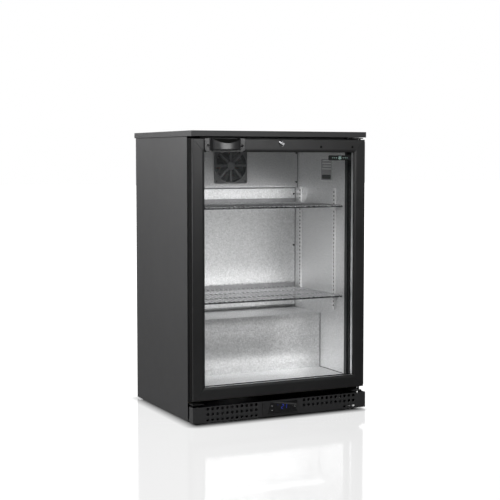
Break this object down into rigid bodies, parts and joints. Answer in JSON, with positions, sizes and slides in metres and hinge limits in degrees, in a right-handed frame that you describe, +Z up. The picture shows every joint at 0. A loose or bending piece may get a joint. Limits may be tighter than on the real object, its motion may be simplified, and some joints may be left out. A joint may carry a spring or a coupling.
{
  "type": "undercounter refrigerator",
  "caption": "Single glass-door back-bar refrigerator with wire shelves, a lock, a perforated plinth with a digital controller and a rear machine bay.",
  "frame": {"origin": "bottom centre of the whole object's box, on the floor it stands on", "axes": "+Z up, the door faces -Y, +X is to the right of someone facing the door"},
  "size_m": [0.6, 0.5, 0.88],
  "materials": {
    "black_steel": "satin",
    "black_aluminium": "satin",
    "black_plastic": "matte",
    "liner_aluminium": "satin",
    "bright_steel": "satin",
    "fin_aluminium": "satin",
    "galvanised_steel": "satin",
    "chrome": "polished",
    "copper": "satin",
    "glass": "gloss",
    "rubber": "matte",
    "foam": "matte",
    "white_plastic": "satin",
    "display_blue": "gloss",
    "label_grey": "matte",
    "badge_black": "gloss"
  },
  "bodies": {
    "cabinet": {"back_panel": "black_steel", "base_frame": "galvanised_steel", "base_pan": "black_steel", "compressor": "black_steel", "condenser_coil": "fin_aluminium", "condenser_fan_shroud": "black_steel", "controller_housing": "black_plastic", "drip_tray": "white_plastic", "duct_panel": "liner_aluminium", "evaporator_coil": "fin_aluminium", "evaporator_cover": "liner_aluminium", "evaporator_fan_guard": "black_plastic", "evaporator_fan_housing": "black_plastic", "front_frame": "black_plastic", "hinge_bracket_bottom": "black_steel", "hinge_bracket_top": "black_steel", "inner_liner": "liner_aluminium", "insulation_foam": "foam", "interior_light": "white_plastic", "plinth_panel": "black_steel", "power_inlet": "black_plastic", "rear_grille": "black_steel", "shelf_clip_lower_front_left": "bright_steel", "shelf_clip_lower_front_right": "bright_steel", "shelf_clip_lower_rear_left": "bright_steel", "shelf_clip_lower_rear_right": "bright_steel", "shelf_clip_upper_front_left": "bright_steel", "shelf_clip_upper_front_right": "bright_steel", "shelf_clip_upper_rear_left": "bright_steel", "shelf_clip_upper_rear_right": "bright_steel", "shelf_rail_front_left": "bright_steel", "shelf_rail_front_right": "bright_steel", "shelf_rail_rear_left": "bright_steel", "shelf_rail_rear_right": "bright_steel", "side_panel_left": "black_steel", "side_panel_right": "black_steel", "spare_hinge_bracket": "black_steel", "worktop": "black_steel"},
    "door": {"door_stile_left": "black_aluminium", "door_stile_right": "black_aluminium", "door_rail_top": "black_aluminium", "door_rail_bottom": "black_aluminium", "glass_outer": "glass", "glass_inner": "glass", "glass_spacer": "fin_aluminium", "door_gasket": "rubber", "handle": "black_plastic", "lock_barrel": "chrome"},
    "lock": {"lock_cam": "chrome"},
    "shelf_upper": {"shelf_upper": "bright_steel"},
    "shelf_lower": {"shelf_lower": "bright_steel"},
    "evaporator_fan": {"evaporator_fan_impeller": "black_plastic"},
    "condenser_fan": {"condenser_fan_impeller": "fin_aluminium"},
    "key_up": {"key_up": "black_plastic"},
    "key_down": {"key_down": "black_plastic"},
    "key_set": {"key_set": "black_plastic"},
    "foot_front_left": {"foot_front_left": "rubber"},
    "foot_front_right": {"foot_front_right": "rubber"},
    "foot_rear_left": {"foot_rear_left": "rubber"},
    "foot_rear_right": {"foot_rear_right": "rubber"}
  },
  "joints": [
    {"name": "door_hinge", "type": "hinge", "parent": "cabinet", "child": "door", "pos_m": [0.284, -0.212, 0.463], "axis": [0, 0, 1], "range_deg": [0, 110], "stiffness_Nm_per_rad": 1.2, "springref_deg": -20.05},
    {"name": "lock_turn", "type": "hinge", "parent": "door", "child": "lock", "pos_m": [0, -0.225, 0.8435], "axis": [0, -1, 0], "range_deg": [0, 90]},
    {"name": "shelf_upper_slide", "type": "slide", "parent": "cabinet", "child": "shelf_upper", "axis": [0, -1, 0], "range_m": [0, 0.024]},
    {"name": "shelf_lower_slide", "type": "slide", "parent": "cabinet", "child": "shelf_lower", "axis": [0, -1, 0], "range_m": [0, 0.024]},
    {"name": "evaporator_fan_spin", "type": "hinge", "parent": "cabinet", "child": "evaporator_fan", "pos_m": [0, 0.1573, 0.7735], "axis": [0, 1, 0], "continuous": true},
    {"name": "condenser_fan_spin", "type": "hinge", "parent": "cabinet", "child": "condenser_fan", "pos_m": [0.145, 0.095, 0.11], "axis": [0, 1, 0], "continuous": true},
    {"name": "key_up_press", "type": "slide", "parent": "cabinet", "child": "key_up", "axis": [0, 1, 0], "range_m": [0, 0.001], "stiffness_N_per_m": 300},
    {"name": "key_down_press", "type": "slide", "parent": "cabinet", "child": "key_down", "axis": [0, 1, 0], "range_m": [0, 0.001], "stiffness_N_per_m": 300},
    {"name": "key_set_press", "type": "slide", "parent": "cabinet", "child": "key_set", "axis": [0, 1, 0], "range_m": [0, 0.001], "stiffness_N_per_m": 300},
    {"name": "foot_front_left_adjust", "type": "slide", "parent": "cabinet", "child": "foot_front_left", "axis": [0, 0, 1], "range_m": [-0.01, 0]},
    {"name": "foot_front_right_adjust", "type": "slide", "parent": "cabinet", "child": "foot_front_right", "axis": [0, 0, 1], "range_m": [-0.01, 0]},
    {"name": "foot_rear_left_adjust", "type": "slide", "parent": "cabinet", "child": "foot_rear_left", "axis": [0, 0, 1], "range_m": [-0.01, 0]},
    {"name": "foot_rear_right_adjust", "type": "slide", "parent": "cabinet", "child": "foot_rear_right", "axis": [0, 0, 1], "range_m": [-0.01, 0]}
  ]
}
